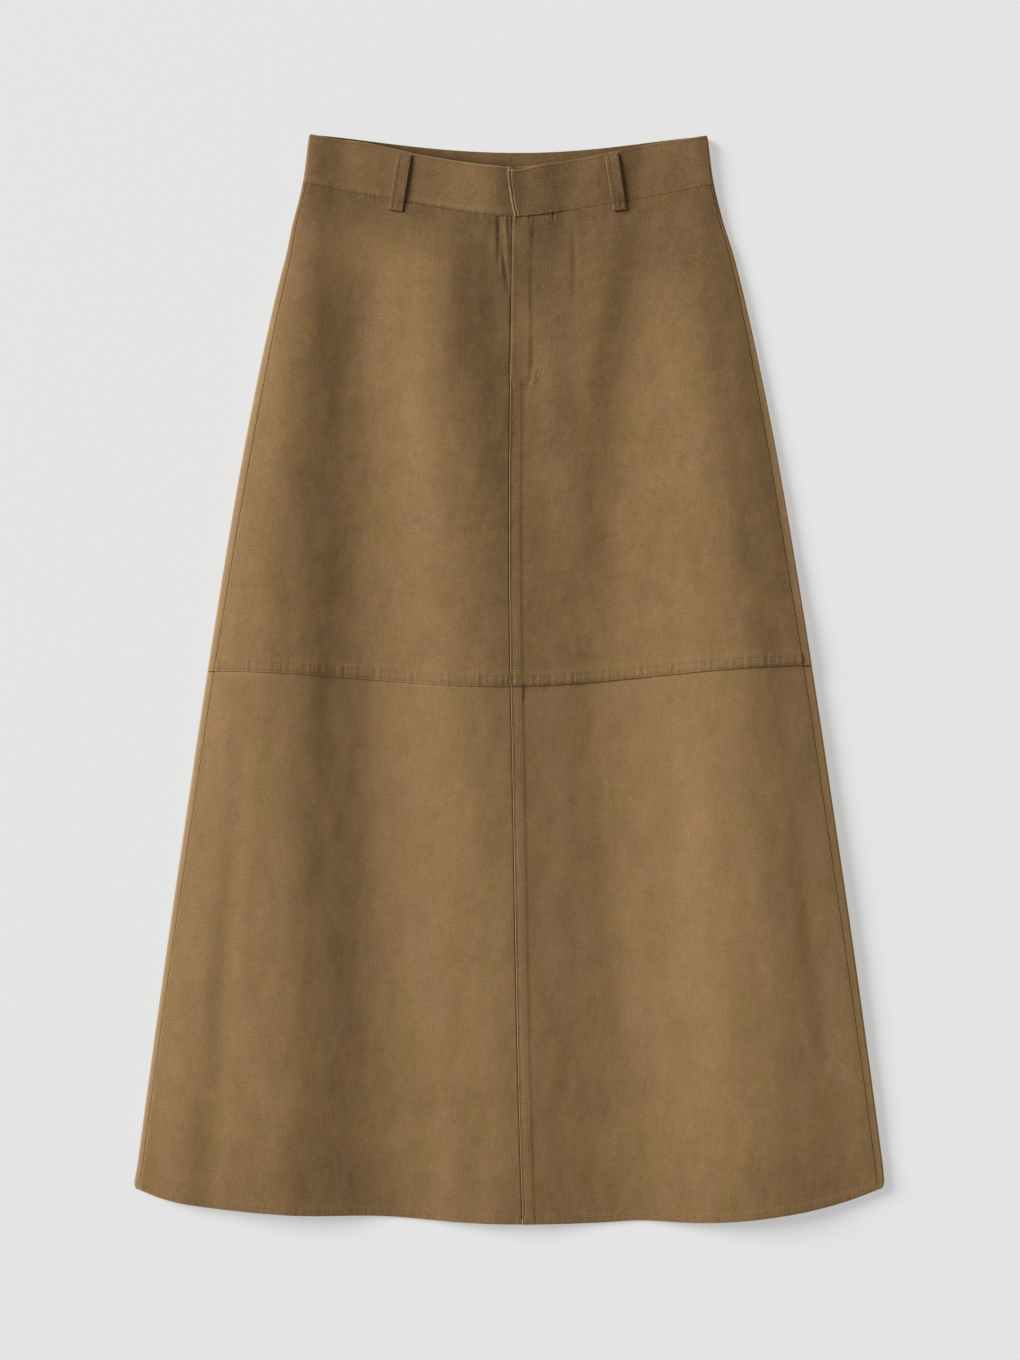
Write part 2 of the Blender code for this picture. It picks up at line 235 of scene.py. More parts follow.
seams = {
    # sewn rows, in from the seam or edge
    "yokeRows": (0.0022, 0.009), "centreRows": (0.0018, 0.0069), "hemRows": (0.0057,),
    "waistTopStitch": 0.0024, "waistLowStitch": 0.0018, "rowWidth": 0.0014,
    "grooveWidth": 0.0016, "grooveDepth": 0.00022,
    "underGroove": 0.00045,  # rows on the back lie in grooves, so that their thread stays off the floor
    "centreAllowance": 0.011,  # cloth turned in under the centre seam ends here
    "allowance": 0.0006, "allowanceEnd": 0.003,  # extra height over turned-in cloth, and where it is lost
    "edgeRound": 0.0026, "edgeDrop": 0.0011, "centreRaise": 0.0004,
    "puckerPeriod": 0.0047, "puckerHeight": 0.00031,
    # short creases drawn in by the waist seam
    "waistPucker": 0.00026, "waistPeriod": 0.0052, "waistPuckerReach": 0.008,
}

lift = {
    "edge": 0.0028, "edgeReach": (0.0064, 0.04),  # the right side stands up where it folds over
    "waist": 0.0009, "waistSettle": 0.06,  # the panels climb to the thick waistband
    "bandProud": 0.0002, "bandLap": 0.0022,
    "lap": 0.0015, "lapReach": (0.028, 0.07),
    "gape": (0.0007, 0.287, 0.03), "gapeIn": 0.012,  # the fly's edge stands off: height, y, reach
    # the waistband swells beside its lapping end: x, spread to the left, to the right, height
    "bulge": (-0.013, 0.044, 0.03, 0.0024), "bulgeSettle": 0.016,
}

fly = {
    "bottomY": 0.261,
    "lap": 0.015, "taper": 0.022,  # left panel under the right one
    "rows": (0.0311, 0.0371), "rowDepth": 0.00008,  # J-shaped rows, from the opening's edge
    "hook": 0.0165, "curveY": 0.306,  # how far from the edge they end, and where they begin to turn
    "facingX": 0.0176, "facingStep": 0.00014,  # the facing's end shows as a soft step
}


def strokes(table, x, y):
    # every stroke of a table, in the unit of its last column
    total = np.zeros(np.broadcast(x, y).shape)
    for rows in table.values():
        for row in rows:
            x0, y0, x1, y1, bend, width = (value / 1000 for value in row[:6])
            length = math.hypot(x1 - x0, y1 - y0)
            ax, ay = (x1 - x0) / length, (y1 - y0) / length
            t = ((x - x0) * ax + (y - y0) * ay) / length
            inside = clamp(t)
            across = (x - x0) * -ay + (y - y0) * ax - bend * 4 * inside * (1 - inside)
            beyond = (t - inside) * length
            ends = np.sin(np.pi * np.clip(inside, 0.02, 0.98)) ** 0.6
            total += row[6] * ends * bell(np.hypot(across, beyond) / width)
    return total


def foldsHeight(x, y):
    total = np.zeros(np.broadcast(x, y).shape)
    for rows in folds.values():
        crest, left, right, height = (curveThrough([(row[0], row[k]) for row in rows], y)
                                      for k in range(1, 5))
        total += height * bell((x - crest) / np.where(x < crest, left, right))
    return total


def unevenWave(s, period, seed):
    # a wave that never quite repeats, for gathers and puckers along a seam
    swing = np.sin(2 * np.pi * s / (3.3 * period) + seed)
    strength = 0.62 + 0.38 * np.sin(2 * np.pi * s / (6.1 * period) + 2.3 * seed)
    return np.sin(2 * np.pi * s / period + 1.9 * swing) * strength


def waistPuckers(x, distance):
    # stronger round the fly and beside the belt loops
    busy = 0.35 + 0.65 * np.maximum(bell((x + 0.005) / 0.075), bell((np.abs(x) - 0.105) / 0.04))
    wave = unevenWave(x, seams["waistPeriod"], 0.4)
    return seams["waistPucker"] * busy * wave * fade(distance, 0.001, seams["waistPuckerReach"])


def roundedEdge(distance, reach):
    return (1 - clamp(distance / reach)) ** 2


def sewnEdge(distance, rows, along, seed):
    # relief beside a folded edge that is sewn down in one or two rows, by the distance from it
    hold = rows[-1] + 0.0008
    height = seams["allowance"] * fade(distance, hold, hold + seams["allowanceEnd"])
    height -= seams["edgeDrop"] * roundedEdge(distance, seams["edgeRound"])
    for row in rows:
        height -= seams["grooveDepth"] * bell((distance - row) / seams["grooveWidth"])
    middle = rows[-1] / 2 + 0.001
    puff = bell((distance - middle) / (middle + 0.004))
    return height + seams["puckerHeight"] * puff * unevenWave(along, seams["puckerPeriod"], seed)


def sewnRelief(x, y, tier, over):
    # what the sewing adds to a panel's outer face
    fromCentre = x - centreX(y)
    if tier == "upper":
        total = sewnEdge(y - yoke(x), seams["yokeRows"], x, 0.7)
    else:
        total = 0.5 * sewnEdge(y - hem(x), seams["hemRows"], x, 2.1)
    if over:
        sewn = fade(y - fly["bottomY"], 0, 0.006) if tier == "upper" else 1.0
        total += sewn * centreRelief(fromCentre, y)
        if tier == "upper":
            total += (1 - sewn) * flyRelief(y, fromCentre)
    return total


def centreRelief(fromCentre, y):
    # narrow raised edge, two sewn rows, then the step where the turned-in cloth ends
    first, second = seams["centreRows"]
    turned = seams["centreAllowance"]
    height = seams["centreRaise"] * fade(fromCentre, 0.0004, first)
    height -= 0.0005 * roundedEdge(fromCentre, 0.0007)
    height += seams["allowance"] * fade(fromCentre, turned - 0.0022, turned + 0.0008)
    for row in (first, second):
        height -= 0.8 * seams["grooveDepth"] * bell((fromCentre - row) / 0.0011)
    puff = bell((fromCentre - (first + second) / 2) / 0.004)
    return height + 0.5 * seams["puckerHeight"] * puff * unevenWave(y, seams["puckerPeriod"], 1.3)


def flyRelief(y, fromCentre):
    # folded edge, the facing's end as a soft step, and the two J-shaped rows
    edge = -0.5 * seams["edgeDrop"] * roundedEdge(fromCentre, seams["edgeRound"])
    step = fly["facingStep"] * fade(fromCentre, fly["facingX"] - 0.0012, fly["facingX"] + 0.0008)
    grooves = sum(bell((fromCentre - jRow(row, y)) / seams["rowWidth"]) for row in fly["rows"])
    return edge + step - fly["rowDepth"] * grooves


def jRow(row, y):
    # how far a J-shaped row runs from the opening's edge at height y
    turn = clamp((fly["curveY"] - y) / (fly["curveY"] - fly["bottomY"]))
    return fly["hook"] + (row - fly["hook"]) * np.sqrt(clamp(1 - turn ** 2.4))


def unevenness(x, y):
    # faint rumples that never repeat, drawn out along the skirt
    total = np.zeros(np.broadcast(x, y).shape)
    for size, height, longer in rumples:
        size = size / 1000
        for k in range(3):
            turn = 0.7 * k - 0.6
            across = x * math.cos(turn) + y * math.sin(turn) / longer
            along = y * math.cos(turn) / longer - x * math.sin(turn)
            swing = 1.6 * np.sin(2 * np.pi * along / (1.7 * size) + 2.1 * k)
            swing += 1.1 * np.sin(2 * np.pi * across / (2.6 * size) + 1.3 * k + 9 * y)
            total += height / 2000 * np.sin(2 * np.pi * across / size + swing + 1.7 * k)
    return total


def frontHeight(x, y, tier, over=False):
    # outer face of the lower panels, the upper panels or the waistband; over is for what closes on top
    x, y = np.asarray(x, float), np.asarray(y, float)
    belowWaist, fromCentre = frontWaist(x) - y, x - centreX(y)
    height = cloth["restHeight"] + foldsHeight(x, y) + unevenness(x, y)
    height += lift["edge"] * fade(halfWidth(y) - x, *lift["edgeReach"])
    if tier != "lower":
        middle, left, right, bulge = lift["bulge"]
        bulge = bulge * bell((x - middle) / np.where(x < middle, left, right))
        height += bulge * fade(belowWaist, 0, lift["bulgeSettle"])
    if tier == "band":
        height += lift["waist"] + lift["bandProud"]
        return height + (lift["bandLap"] * fade(x, *lift["lapReach"]) if over else 0.0)
    height += strokes(creases, x, y) / 1000
    if tier == "upper":
        height += lift["waist"] * fade(belowWaist, 0, lift["waistSettle"])
        height += lift["lap"] * fade(y - yoke(x), *lift["lapReach"])
        height += waistPuckers(x, belowWaist)
        if over:
            across = fade(fromCentre, *lift["lapReach"])
            height += lift["lap"] * across * fade(fly["bottomY"] - y, *lift["lapReach"])
            height += swell(lift["gape"], y) * fade(fromCentre, 0, lift["gapeIn"])
    return height


def frontSurface(x, y, tier, over=False):
    return frontHeight(x, y, tier, over) + sewnRelief(x, y, tier, over)


# Sheets of cloth

edgeSteps = np.cumsum([0, 5, 5, 6, 6, 6, 7, 8, 9, 10, 10, 10, 12, 14, 16]) * 0.0001


def between(low, high, count, highSteps=edgeSteps):
    # positions from low to high: close together at the ends, even between
    low, high = np.asarray(low, float)[..., None], np.asarray(high, float)[..., None]
    inner = mix(low + edgeSteps[-1], high - highSteps[-1], np.linspace(0, 1, count + 1)[1:-1])
    return np.concatenate([low + edgeSteps, inner, high - highSteps[::-1]], axis=-1)


def editMesh(operator, **settings):
    # one operator on the whole of the active mesh
    bpy.ops.object.mode_set(mode="EDIT")
    bpy.ops.mesh.select_all(action="SELECT")
    operator(**settings)
    bpy.ops.object.mode_set(mode="OBJECT")


def applyModifier(piece, kind, **settings):
    modifier = piece.modifiers.new(kind.lower(), kind)
    for key, value in settings.items():
        setattr(modifier, key, value)
    bpy.context.view_layer.objects.active = piece
    bpy.ops.object.modifier_apply(modifier=modifier.name)


def gridSheet(name, points, flat):
    # a grid with its points moved to the cloth's place; the UV map is the cloth laid flat, in metres
    rows, columns = points.shape[0] - 1, points.shape[1] - 1
    bpy.ops.mesh.primitive_grid_add(x_subdivisions=columns, y_subdivisions=rows, size=1)
    piece = bpy.context.object
    piece.name = piece.data.name = name
    mesh = piece.data
    mesh.vertices.foreach_set("co", points.reshape(-1).astype(np.float32))
    corner = np.zeros(len(mesh.loops), np.int32)
    mesh.loops.foreach_get("vertex_index", corner)
    uv = np.stack([part.ravel() for part in flat], axis=1)[corner]
    mesh.uv_layers["UVMap"].data.foreach_set("uv", uv.ravel().astype(np.float32))
    mesh.update()
    return piece


def areaOf(points):
    # area of the sheet's outer face
    a, b, c, d = points[:-1, :-1], points[:-1, 1:], points[1:, :-1], points[1:, 1:]
    one, two = (np.linalg.norm(np.cross(b - corner, c - corner), axis=2) for corner in (a, d))
    return float((one.sum() + two.sum()) / 2)


def clothPiece(name, points, flat, wall=cloth["wall"], rim=cloth["rimRadius"], lying=False):
    # a lying sheet's wall goes straight down, so that its edges stand upright; others thicken inwards
    piece = gridSheet(name, points, flat)
    if lying:
        editMesh(bpy.ops.mesh.extrude_region_move, TRANSFORM_OT_translate={"value": (0, 0, -wall)})
    else:
        applyModifier(piece, "SOLIDIFY", thickness=wall, offset=-1, use_even_offset=True)
    editMesh(bpy.ops.mesh.normals_make_consistent, inside=False)
    applyModifier(piece, "BEVEL", width=rim, segments=2, limit_method="ANGLE",
                  angle_limit=math.radians(62), use_clamp_overlap=True)
    bpy.ops.object.shade_smooth()
    piece.select_set(False)
    piece["clothArea"] = areaOf(points)
    return piece


def flatSizes(points):
    # the cloth's own distances, across from the first column and up the garment
    steps = np.linalg.norm(np.diff(points, axis=1), axis=2)
    across = np.concatenate([np.zeros((len(points), 1)), np.cumsum(steps, axis=1)], axis=1)
    return across, points[..., 1]


def sideHeight(line, side):
    # where a line across the garment meets its side
    y = line(side * 0.25)
    for _ in range(6):
        y = line(side * halfWidth(y))
    return float(y)


# Front panels

def frontPanel(name, side, tier, lower, upper):
    # side is -1 for the viewer's left panel, 1 for the right one, which closes over it
    length = upper(0.0) - lower(0.0)
    levels = between(lower(0.0), upper(0.0), round(length / cloth["rowStep"]))
    shares = (levels - levels[0]) / (levels[-1] - levels[0])
    sideY = mix(sideHeight(lower, side), sideHeight(upper, side), shares)
    outer = side * (halfWidth(sideY) - stripWidth(side, sideY))
    inner = centreX(levels) + side * cut["seamGap"] / 2
    if side < 0 and tier == "upper":
        inner = inner + fly["lap"] * fade(fly["bottomY"] - levels, -fly["taper"], 0.0)
    columns = round(np.abs(outer - inner).max() / cloth["columnStep"])
    x = between(*((outer, inner) if side < 0 else (inner, outer)), columns)
    lowY, highY = lower(x), upper(x)
    fromLow, fromHigh = levels[:, None] - levels[0], levels[-1] - levels[:, None]
    y = mix(lowY, highY, shares[:, None])
    near = edgeSteps[-1]
    y = np.where(fromLow <= near, lowY + fromLow, np.where(fromHigh <= near, highY - fromHigh, y))
    points = np.stack([x, y, frontSurface(x, y, tier, side > 0)], axis=2)
    u, v = flatSizes(points)
    edge = [-1] if side < 0 else [0]
    u = u - u[:, edge] + x[:, edge] - centreX(levels)[:, None]
    return clothPiece(name, points, (u, v), lying=True)


panels = {}
yokeTucked = raised(yoke, cut["yokeLap"])
waistEdge = raised(frontWaist, -cut["waistGap"])
for side, word in ((-1, "Left"), (1, "Right")):
    panels["frontLower" + word] = frontPanel("frontLower" + word, side, "lower", hem, yokeTucked)
    panels["frontUpper" + word] = frontPanel("frontUpper" + word, side, "upper", yoke, waistEdge)
print("skirt: front panels cut and laid,", len(panels))


# Back panels, brought round to the front at both sides

roll = {"reach": 0.0024, "level": 0.0005, "columns": 12, "flatStep": 0.0052}


def sideRoll(side, share, tier, across):
    # section of one side for every row: x, height and how far round to the underside
    y = mix(sideHeight(across[0], side), sideHeight(across[1], side), share)
    half = halfWidth(y)
    seam, turnIn = half - stripWidth(side, y) + cut["seamGap"], half - roll["reach"]
    height = frontHeight(side * seam, y, tier)
    radius = frontHeight(side * turnIn, y, tier) / 2
    xs, zs, unders = [side * seam, side * (seam + roll["level"])], [height, height], [0.0, 0.0]
    for under in np.linspace(0, 1, roll["columns"] + 1):
        angle = math.pi * (0.5 - under)
        xs.append(side * (turnIn + roll["reach"] * math.cos(angle)))
        zs.append(radius * (1 + math.sin(angle)))
        unders.append(under)
    return np.stack(xs, 1), np.stack(zs, 1), np.array(unders)


def wholeRows(share, right, left, frontLines, backLines, top=0.0, bottom=0.0, rowsUnder=()):
    # rows of points from the right side's section, under the skirt, to the left side's;
    # top and bottom round the outer corners, rowsUnder are sewn rows (line, offset) on the underside
    start, end = right[0][:, -1], left[0][:, -1]
    count = round(float(np.abs(start - end).max()) / roll["flatStep"])
    flatX = mix(start[:, None], end[:, None], np.linspace(0, 1, count + 1)[1:-1])
    x = np.concatenate([right[0], flatX, left[0][:, ::-1]], axis=1)
    z = np.concatenate([right[1], np.zeros_like(flatX), left[1][:, ::-1]], axis=1)
    under = np.concatenate([right[2], np.ones(flatX.shape[1]), left[2][::-1]])
    share = share[:, None]
    frontY = mix(frontLines[0](x), frontLines[1](x), share)
    backY = mix(backLines[0](x), backLines[1](x), share)
    y = mix(frontY, backY, under)
    beyond = clamp((np.abs(x) - halfWidth(y) + roll["reach"]) / roll["reach"])
    rounding = 1 - np.sqrt(1 - beyond ** 2)
    y -= top * rounding * fade(frontLines[1](x) - frontY, 0, cut["cornerHeight"])
    y += bottom * rounding * fade(frontY - frontLines[0](x), 0, cut["cornerHeight"])
    z += (under >= 1) * strokes(backCreases, x, y) / 1000
    for line, offset in rowsUnder:
        z += (under >= 1) * seams["underGroove"] * bell((y - line(x) - offset) / seams["rowWidth"])
    return np.stack([x, y, z], axis=2)


backTop, backWaist = backLine(cut["cornerY"]), backLine(cut["seamCornerY"])
yokeAbove, yokeBelow = raised(yoke, cut["backSeamGap"] / 2), raised(yoke, -cut["backSeamGap"] / 2)
backHem = raised(hem, cut["backHemLift"])
underRows = {"upper": [(yoke, row) for row in seams["yokeRows"]],
             "lower": [(backHem, row) for row in seams["hemRows"]]}


def backPanel(name, tier, frontLines, backLines, bottom=0.0):
    length = float(frontLines[1](0.0) - frontLines[0](0.0))
    share = between(0.0, length, round(length / cloth["rowStep"])) / length
    right, left = (sideRoll(side, share, tier, frontLines) for side in (1, -1))
    points = wholeRows(share, right, left, frontLines, backLines, bottom=bottom, rowsUnder=underRows[tier])
    u, v = flatSizes(points)
    return clothPiece(name, points, (u - u[:, u.shape[1] // 2][:, None], v))


panels["backUpper"] = backPanel("backUpper", "upper", (yokeAbove, waistEdge),
                                (yokeAbove, raised(backWaist, -cut["waistGap"])))
panels["backLower"] = backPanel("backLower", "lower", (hem, yokeBelow), (backHem, yokeBelow),
                                cut["hemCorner"])
print("skirt: back panels brought round the sides")


# Waistband, one doubled strip from its upper end round the back to its lower end

band = {
    "lap": 0.025, "endX": 0.004, "endSlant": 0.006,  # lapping end: x at the seam, lean to the left
    "innerRows": 14, "frontStep": 0.0014, "rim": 0.00045,
    "endDrop": 0.0036, "endDropReach": 0.034,  # the lapping end sits a little lower than what it covers
    "groove": 0.00016, "crackIn": 0.002, "crackWave": 0.00035, "crackWidth": 0.0009, "crackDepth": 0.0008,
    "cornerRound": 0.003,
    "rowsIn": 0.0042, "endRow": 0.0032,  # where the sewn rows start, and the one along the end
}


def bandEnd(share):
    # x of the lapping end; share runs from the seam to the top
    return band["endX"] - band["endSlant"] * (1 - (1 - share) ** 1.6)


def bandRelief(x, y, endwise=None):
    # endwise is the distance to the lapping end
    up, down = y - frontWaist(x), frontTop(x) - y
    height = waistPuckers(x, up)
    for distance in (down - seams["waistTopStitch"], up - seams["waistLowStitch"]):
        height -= band["groove"] * bell(distance / seams["rowWidth"])
    if endwise is not None:
        crack = band["crackIn"] + band["crackWave"] * np.sin(up / 0.0021) * np.sin(up / 0.0063 + 1)
        height -= band["crackDepth"] * bell((endwise - crack) / band["crackWidth"])
    return height


def waistband(name):
    deep = float(frontTop(0.0) - frontWaist(0.0))
    share = between(0.0, deep, band["innerRows"]) / deep
    upperEnd = bandEnd(share)
    halves = []
    for side, inner in ((1, upperEnd), (-1, np.full_like(share, band["lap"]))):
        section = sideRoll(side, share, "band", (frontWaist, frontTop))
        seamX = section[0][:, 0]
        count = round(abs(float(seamX[0])) / band["frontStep"])
        if side > 0:
            x = between(inner, seamX, count, np.zeros(1))[:, :-1]
        else:
            x = mix(inner[:, None], seamX[:, None], np.linspace(0, 1, count + 1)[:-1])
        y = mix(frontWaist(x), frontTop(x), share[:, None])
        z = frontHeight(x, y, "band", side > 0) + bandRelief(x, y, x - inner[:, None] if side > 0 else None)
        halves.append([np.concatenate([added, part], -1) for added, part
                       in zip((x, z, np.zeros(x.shape[1])), section)])
    points = wholeRows(share, *halves, (frontWaist, frontTop), (backWaist, backTop), top=band["cornerRound"])
    upper = halves[0][0].shape[1]
    drop = fade(points[:, :upper, 0] - upperEnd[:, None], 0, band["endDropReach"])
    points[:, :upper, 1] -= band["endDrop"] * drop * share[:, None] ** 2
    return clothPiece(name, points, flatSizes(points), cloth["bandWall"], band["rim"])


panels["waistbandDoubled"] = waistband("waistbandDoubled")
print("skirt: waistband closed, right end over left")


# Belt loops: how far they stand off, where their turns begin, and the rest of their sizes

loopSizes = {
    "width": 0.0123, "seat": 0.0007, "clear": 0.0009, "head": 0.003, "foot": 0.007, "squareness": 5,
    "seamMargin": 0.001, "rows": 60, "columns": 14, "stitchIn": 0.0024, "rim": 0.0004,
    # height, how far in from the edge and reach
    "welt": (0.0002, 0.001, 0.0016), "groove": (-0.00018, 0.0024, 0.0012),
}
# x and y of the middle of the top end and of the bottom end
loopEnds = {"beltLoopLeft": (-0.092, 0.464, -0.0999, 0.4136),
            "beltLoopRight": (0.0898, 0.464, 0.0977, 0.4136)}


def loopAxis(name):
    # its upper end, its direction and its length
    topX, topY, lowX, lowY = loopEnds[name]
    length = math.hypot(lowX - topX, lowY - topY)
    return topX, topY, (lowX - topX) / length, (lowY - topY) / length, length


def loopPlace(name, along, across):
    topX, topY, dx, dy, _ = loopAxis(name)
    return topX + dx * along - dy * across, topY + dy * along + dx * across


def loopSurface(name, x, y):
    topX, topY, dx, dy, length = loopAxis(name)
    along = (x - topX) * dx + (y - topY) * dy
    onBand = y > frontWaist(x) - loopSizes["seamMargin"]
    ground = np.where(onBand, frontHeight(x, y, "band"), frontHeight(x, y, "upper"))
    turn = clamp((along - loopSizes["head"]) / (length - loopSizes["head"] - loopSizes["foot"]))
    clear = loopSizes["clear"] * (1 - np.abs(2 * turn - 1) ** loopSizes["squareness"])
    return ground + loopSizes["seat"] + clear + cloth["loopWall"]


def beltLoop(name):
    along = np.linspace(loopAxis(name)[-1], 0, loopSizes["rows"] + 1)[:, None]
    across = np.linspace(-0.5, 0.5, loopSizes["columns"] + 1)[None, :] * loopSizes["width"]
    x, y = loopPlace(name, along, across)
    edge = loopSizes["width"] / 2 - np.abs(across)
    z = loopSurface(name, x, y) + swell(loopSizes["welt"], edge) + swell(loopSizes["groove"], edge)
    flat = np.broadcast_to(across, x.shape), np.broadcast_to(-along, x.shape)
    return clothPiece(name, np.stack([x, y, z], axis=2), flat, cloth["loopWall"], loopSizes["rim"])


for name in loopEnds:
    panels[name] = beltLoop(name)
print("skirt: belt loops sewn on")


# Stitching: one stitch is modelled and then set along every sewn row

stitches = {
    "pitch": 0.0025, "length": 0.0017, "thick": 0.00056,
    "sink": 0.00015, "flySink": 0.00022, "loopRise": 0.00008, "offFloor": 0.00002,
}


def modelStitch():
    # a short thread that dives into the cloth at both ends, along X, one unit long and thick
    bpy.ops.mesh.primitive_uv_sphere_add(segments=6, ring_count=4, radius=0.5)
    stitch = bpy.context.object
    editMesh(bpy.ops.transform.rotate, value=math.pi / 2, orient_axis="Y", center_override=(0, 0, 0))
    shape = np.array([v.co for v in stitch.data.vertices])
    fuller = np.where(np.abs(shape[:, :1]) < 0.4, 1.25, 1.0)
    shape[:, 1:] = np.clip(shape[:, 1:] * fuller, -0.5, 0.5)
    faces = [tuple(p.vertices) for p in stitch.data.polygons]
    bpy.data.objects.remove(stitch)
    return shape, faces


stitchShape, stitchFaces = modelStitch()


def stitchRow(x, y, surface):
    # starts and ends of the stitches on a line across the cloth; surface gives the height
    length = np.concatenate([[0.0], np.cumsum(np.hypot(np.diff(x), np.diff(y)))])
    starts = np.arange(stitches["pitch"] / 2, length[-1] - stitches["length"], stitches["pitch"])
    ends = []
    for at in (starts, starts + stitches["length"]):
        px, py = np.interp(at, length, x), np.interp(at, length, y)
        ends.append(np.stack([px, py, surface(px, py) + stitches["thick"] / 2], axis=1))
    return ends


def sewn(name, rows):
    starts, ends = (np.concatenate([row[k] for row in rows]) for k in (0, 1))
    along = ends - starts
    axis = along / np.linalg.norm(along, axis=1, keepdims=True)
    side = np.cross([0.0, 0.0, 1.0], axis)
    side = side / np.linalg.norm(side, axis=1, keepdims=True)
    spots = ((starts + ends) / 2)[:, None, :]
    for k, arm in enumerate((along, stitches["thick"] * side, stitches["thick"] * np.cross(axis, side))):
        spots = spots + stitchShape[None, :, k:k + 1] * arm[:, None, :]
    count = len(stitchShape)
    faces = [tuple(i * count + v for v in face) for i in range(len(starts)) for face in stitchFaces]
    mesh = bpy.data.meshes.new(name)
    mesh.from_pydata(spots.reshape(-1, 3).tolist(), [], faces)
    mesh.update()
    piece = bpy.data.objects.new(name, mesh)
    bpy.context.scene.collection.objects.link(piece)
    mesh.shade_smooth()
    return piece


def onFront(tier, over=False, sink=stitches["sink"]):
    return lambda x, y: frontSurface(x, y, tier, over) - sink


def onBand(over):
    return lambda x, y: frontHeight(x, y, "band", over) + bandRelief(x, y) - stitches["sink"]


def acrossFront(line, above, tier):
    # a row that follows a line across both front panels, from side seam to side seam
    for side in (-1, 1):
        endY = line(side * 0.25)
        reach = float(halfWidth(endY) - stripWidth(side, endY)) - 0.0015
        x = np.linspace(float(centreX(line(0.0))) + side * 0.0006, side * reach, 160)
        yield stitchRow(x, line(x) + above, onFront(tier, side > 0))


def centreRows():
    yokeY, hemY = float(yoke(0.0)), float(hem(0.0))
    for row in seams["centreRows"]:
        for top, low, tier in ((fly["bottomY"] - 0.001, yokeY + 0.0005, "upper"),
                               (yokeY - 0.001, hemY + 0.001, "lower")):
            y = np.linspace(top, low, 160)
            yield stitchRow(centreX(y) + row, y, onFront(tier, True))


def flyRows():
    for row in fly["rows"]:
        y = np.linspace(float(frontWaist(row)) - 0.001, fly["bottomY"] + 0.0004, 400)
        yield stitchRow(centreX(y) + jRow(row, y), y, onFront("upper", True, stitches["flySink"]))
    bar = np.linspace(0.0016, fly["hook"], 40)
    level = np.full_like(bar, fly["bottomY"])
    yield stitchRow(centreX(level) + bar, level, onFront("upper", True))


def bandRows():
    for side in (-1, 1):
        over = side > 0
        for line, offset, share in ((frontTop, -seams["waistTopStitch"], 0.94),
                                    (frontWaist, seams["waistLowStitch"], 0.05)):
            end = float(bandEnd(share))
            reach = float(halfWidth(line(side * 0.17))) - 0.0035
            x = np.linspace(end + band["rowsIn"] if over else end - 0.0009, side * reach, 200)
            y = line(x) + offset
            if over:
                y = y - band["endDrop"] * fade(x - end, 0, band["endDropReach"]) * share ** 2
            yield stitchRow(x, y, onBand(over))
    share = np.linspace(0.08, 0.9, 60)
    y = mix(frontWaist(0.0), frontTop(0.0), share) - band["endDrop"] * share ** 2
    yield stitchRow(bandEnd(share) + band["endRow"], y, onBand(True))


def loopRows():
    for name in loopEnds:
        along = np.linspace(0.001, loopAxis(name)[-1] - 0.001, 60)
        for side in (-1, 1):
            x, y = loopPlace(name, along, side * (loopSizes["width"] / 2 - loopSizes["stitchIn"]))
            yield stitchRow(x, y, lambda px, py: loopSurface(name, px, py) + stitches["loopRise"])


def backRows():
    for line, offset in [*underRows["upper"], *underRows["lower"],
                         (backTop, -seams["waistTopStitch"]), (backWaist, seams["waistLowStitch"])]:
        reach = float(halfWidth(line(0.25))) - 2 * roll["reach"]
        x = np.linspace(-reach, reach, 300)
        yield stitchRow(x, line(x) + offset, lambda px, py: np.full_like(px, stitches["offFloor"]))


threads = {}
for name, rows in {
    "kneeStitching": [row for above in seams["yokeRows"] for row in acrossFront(yoke, above, "upper")],
    "hemStitching": acrossFront(hem, *seams["hemRows"], "lower"),
    "centreStitching": centreRows(),
    "flyStitching": flyRows(),
    "waistbandStitching": bandRows(),
    "beltLoopStitching": loopRows(),
    "backStitching": backRows(),
}.items():
    threads[name] = sewn(name, list(rows))
print("skirt: stitches set,", sum(len(piece.data.vertices) for piece in threads.values()) // len(stitchShape))
